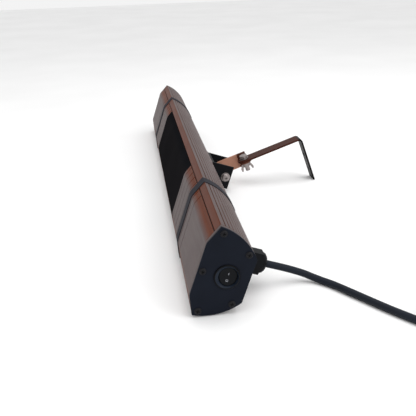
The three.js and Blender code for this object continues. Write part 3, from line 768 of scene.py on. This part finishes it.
def strap(end, label):
    start = end * (HALF - STRAP_START)
    finish = end * (HALF - STRAP_START - STRAP_WIDTH)
    a, b = sorted((start, finish))
    upper = front_half() + back_half(ribs=False)[1:]
    path = upper[1:] + mirrored(upper)[:-1]
    outer = offset_path(path, STRAP_PROUD, closed=True)
    outer_low = offset_path(path, STRAP_PROUD - 0.35, closed=True)
    inner = offset_path(path, 0.12, closed=True)
    bm = bmesh.new()
    profile = [(a, inner), (a, outer_low), (a + 0.35, outer), (b - 0.35, outer), (b, outer_low), (b, inner)]
    rings = [[bm.verts.new((x, y, z)) for (y, z), tone in section] for x, section in profile]
    count = len(rings[0])
    for first, second in zip(rings, rings[1:] + rings[:1]):
        for k in range(count):
            bm.faces.new((first[k], first[(k + 1) % count], second[(k + 1) % count], second[k]))
    return sharpen(add_object(f"strap_band_{label}", bm, BAR), 28)


def toned(piece, rule):
    """Sets a tone on each face from its centre in the bar's own axes."""
    layer = piece.data.attributes.new("tone", "FLOAT", "FACE")
    to_bar = BAR.inverted()
    for face in piece.data.polygons:
        layer.data[face.index].value = rule(to_bar @ face.center)
    return piece


def cap_screw(out, up, node):
    """Pan head with a lit rim and a cross recess painted near-black, as painted shade."""
    def rule(centre):
        deep = abs(centre.x) - HALF < SCREW_FACE
        return float(deep and math.hypot(centre.y + out, centre.z - up) < CROSS_REACH)
    return toned(refined(node, 0.15), rule)


def switch_bezel(centre):
    """Painted shade, near-black, round the rim; painted light, a lit bluish grey, on the funnel inside it."""
    radius = math.hypot(centre.y + SWITCH_DEPTH, centre.z)
    if radius > BEZEL_LINE:
        return 1.0
    return 0.5 if radius > FUNNEL_FROM else 0.0


dress(housing(), "housing_extrusion")
dress(front_panel(), "front_panel")
for end, label in ((1, "switch"), (-1, "far")):
    dress(front_cover(end, label), f"front_cover_{label}")
    dress(strap(end, label), f"strap_{label}")
    dress(refined(f"end_cap_{label}", 0.5, 3), f"end_cap_{label}")
    dress(refined(f"end_frame_{label}", 0.25), f"end_frame_{label}")
    for i, (out, up) in enumerate(CAP_SCREWS, 1):
        dress(cap_screw(out, up, f"cap_screw_{label}_{i}"), f"cap_screw_{label}_{i}")

for node, width in (
    ("mounting_shoe", 0.6), ("u_bracket", 0.5), ("tilt_bolt", 0.3), ("tilt_washer", 0.3),
    ("tilt_spacer", 0.3), ("tilt_nut", 0.4), ("bracket_screw_1", 0.3), ("bracket_screw_2", 0.3),
    ("bracket_nut_1", 0.3), ("bracket_nut_2", 0.3), ("gland_body", 0.6), ("gland_nut", 0.7),
    ("gland_lock_nut", 0.5), ("wing_bolt", 0.5),
    ("wing_washer", 0.25), ("wing_nut", 0.5), ("switch_rocker", 0.5),
):
    dress(refined(node, width), node)

dress(toned(refined("switch_body", 0.3), switch_bezel), "switch_body")

# Past these lengths along the arm the link takes brown painted shade and the arm's leg a near-black painted dark
# reflection.
SALMON_LENGTH, LEG_FROM = 34, 144
dress(refined("tilt_link", 0.4, second_from=SALMON_LENGTH), "tilt_link")
dress(refined("wall_arm", 0.4, second_from=LEG_FROM), "wall_arm")

# ---- marks on the rocker -------------------------------------------------------------------------

KEY = (BAR @ Matrix.Translation((HALF - KEY_PIVOT, KEY_ASIDE - SWITCH_DEPTH, 0))
       @ Matrix.Rotation(math.radians(-KEY_REST), 4, "Y"))


def key_mark(name, height, up, lean, profile):
    """Turned mark let into the rocker's face at a height above its pivot."""
    place = KEY @ Matrix.Translation((height, 0, up)) @ Matrix.Rotation(math.radians(lean), 4, "Y")
    return lathe(name, profile, place @ ALONG_X, 32)


ring_section = [(1.0, -0.2), (1.0, 0.1), (1.45, 0.1), (1.45, -0.2), (1.0, -0.2)]
ring_mark = key_mark("off_mark", 2.06, -5.0, -7, ring_section)
line = [(-1.3, -0.28), (1.3, -0.28), (1.3, 0.28), (-1.3, 0.28)]
on_mark = prism("on_mark", line, -0.2, 0.1, KEY @ Matrix.Translation((1.97, 0, 2.7)) @ ALONG_X)
for mark in (ring_mark, on_mark):
    dress(mark, body="switch_key", slot="switch_black", look=mark_look)

# ---- plug, tie and cord --------------------------------------------------------------------------

PLUG = (Matrix.Translation(Vector(PLUG_AT) * MM) @ Matrix.Rotation(-math.pi / 2, 4, "Y")
        @ Matrix.Scale(MM, 4))


def plug_body():
    profile = [(0, 0.3), (4.9, 0.3), (5.9, 0.9)]
    for i in range(5):
        at = 3.4 + i * 4
        wide = 6.3 + i * 0.7
        profile += [(wide, at), (wide, at + 2.0), (wide - 1.1, at + 2.4), (wide - 1.1, at + 3.4)]
    profile += [(9.8, 24), (13.5, 26.5), (16.4, 29.5), (17.6, 33)]
    for i in range(5):
        at = 36 + i * 3.6
        profile += [(17.9, at), (17.9, at + 2.2), (17.2, at + 2.7), (17.2, at + 3.2)]
    profile += [(17.9, 54.6), (17.9, 62.6), (17.0, 64), (0, 64)]
    return lathe("plug_moulding", profile, PLUG)


def plug_pin(side, node):
    at = Matrix.Translation((0, side * 9.5, 0))
    profile = [(0, 64.3), (2.4, 64.3), (2.4, 81.2), (1.9, 82.4), (0.9, 83), (0, 83)]
    return lathe(f"{node}_turned", profile, PLUG @ at, 24)


def coil_tie():
    """Flat strap round the coil's turns, closed under them."""
    inner, outer, high = COIL_RADII[-1] - 4.7, COIL_RADII[0] + 4.7, COIL_HIGH + 4.7
    wall = 0.9
    loop = [(inner, 0.4), (outer, 0.4), (outer, high), (inner, high)]
    path = []
    for i, point in enumerate(loop):
        path += corner(loop[i - 1], point, loop[(i + 1) % 4], 3.2, 6)
    centre = Vector((sum(p[0] for p in path) / len(path), sum(p[1] for p in path) / len(path)))
    bm = bmesh.new()
    rings = []
    for x, z in path:
        away = (Vector((x, z)) - centre).normalized()
        ring = [bm.verts.new((x + away.x * w, y, z + away.y * w * (z > 1))) for y, w in
                ((-4, 0), (-4, wall), (4, wall), (4, 0))]
        rings.append(ring)
    for first, second in zip(rings, rings[1:] + rings[:1]):
        for k in range(4):
            bm.faces.new((first[k], first[(k + 1) % 4], second[(k + 1) % 4], second[k]))
    place = Matrix.Translation((COIL_CENTRE[0] * MM, COIL_CENTRE[1] * MM, 0)) @ Matrix.Scale(MM, 4)
    return sharpen(add_object("coil_tie_strap", bm, place), 30)


plug = dress(plug_body(), "plug_body")
pin_a = dress(plug_pin(1, "plug_pin_a"), "plug_pin_a")
pin_b = dress(plug_pin(-1, "plug_pin_b"), "plug_pin_b")
tie = dress(coil_tie(), "coil_tie")
dress(cord, "cord_tube", "cord_coil", "cord_tail")
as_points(cord_path)

# ---- stage ---------------------------------------------------------------------------------------


def make_floor():
    bm = bmesh.new()
    bmesh.ops.create_grid(bm, x_segments=2, y_segments=2, size=6)
    floor = add_object("floor", bm)
    s = Surface("floor_look", Roughness=0.8)
    s.set("Base Color", s.ramp(s.noise(3, 2), 0.3, 0.7, (0.86, 0.86, 0.86), (0.9, 0.9, 0.9)))
    floor.data.materials.append(s.material)


def area_light(name, at, toward, size, power, colour=(1, 1, 1)):
    data = bpy.data.lights.new(name, "AREA")
    data.shape = "RECTANGLE"
    data.size, data.size_y = size
    data.energy = power
    data.color = colour
    light = bpy.data.objects.new(name, data)
    light.location = at
    light.rotation_euler = (Vector(toward) - Vector(at)).to_track_quat("-Z", "Y").to_euler()
    bpy.context.scene.collection.objects.link(light)


def make_lights():
    world = bpy.data.worlds.new("studio")
    world.use_nodes = True
    world.node_tree.nodes["Background"].inputs["Color"].default_value = (1, 1, 1, 1)
    world.node_tree.nodes["Background"].inputs["Strength"].default_value = 0.9
    bpy.context.scene.world = world
    bpy.context.scene.view_settings.view_transform = "Standard"
    area_light("overhead", (0.2, 0.3, 1.6), (0.2, 0, 0), (1.6, 1.6), 14)
    area_light("side", (1.3, 1.1, 0.9), (0.3, 0, 0.05), (0.9, 0.9), 6)


make_floor()
make_lights()
